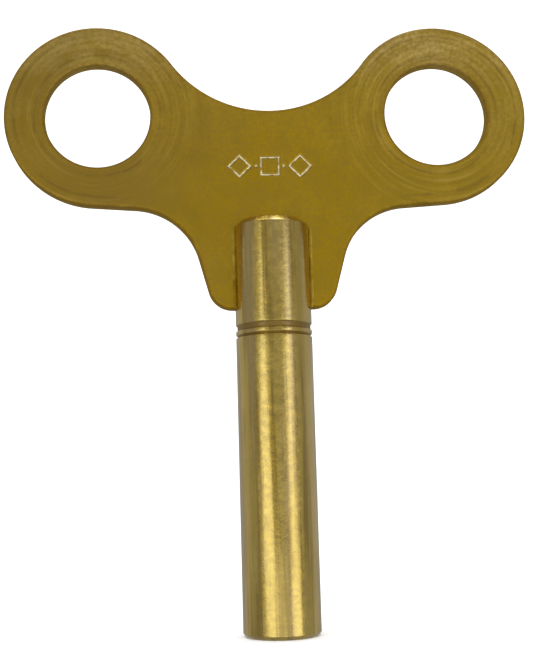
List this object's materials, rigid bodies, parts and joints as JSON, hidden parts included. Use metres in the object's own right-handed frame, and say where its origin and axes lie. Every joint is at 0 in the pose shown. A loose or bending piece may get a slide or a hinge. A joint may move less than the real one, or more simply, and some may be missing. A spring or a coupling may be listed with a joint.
{
  "type": "clock winding key",
  "caption": "Brass winding key: a flat double-loop wing brazed into a slotted, ringed barrel with a square socket in its end.",
  "frame": {"origin": "centre of the barrel's mouth, on the end face", "axes": "+Z along the barrel from the mouth to the wing, the wing's plate lies in the XZ plane and its marked face looks along -Y"},
  "size_m": [0.0526, 0.0074, 0.0603],
  "materials": {
    "wing_brass": "satin brass plate with hand-polishing arcs round the loops, lightly browned at its edges",
    "barrel_brass": "bright turned brass with fine scratches and small dents",
    "braze_alloy": "dull brown-gold brazing alloy with flux stain"
  },
  "bodies": {
    "root": {"wing_plate": "wing_brass", "barrel": "barrel_brass", "braze_front_left": "braze_alloy", "braze_front_right": "braze_alloy", "braze_front_top": "braze_alloy", "braze_back_left": "braze_alloy", "braze_back_right": "braze_alloy", "braze_back_top": "braze_alloy"}
  },
  "joints": []
}
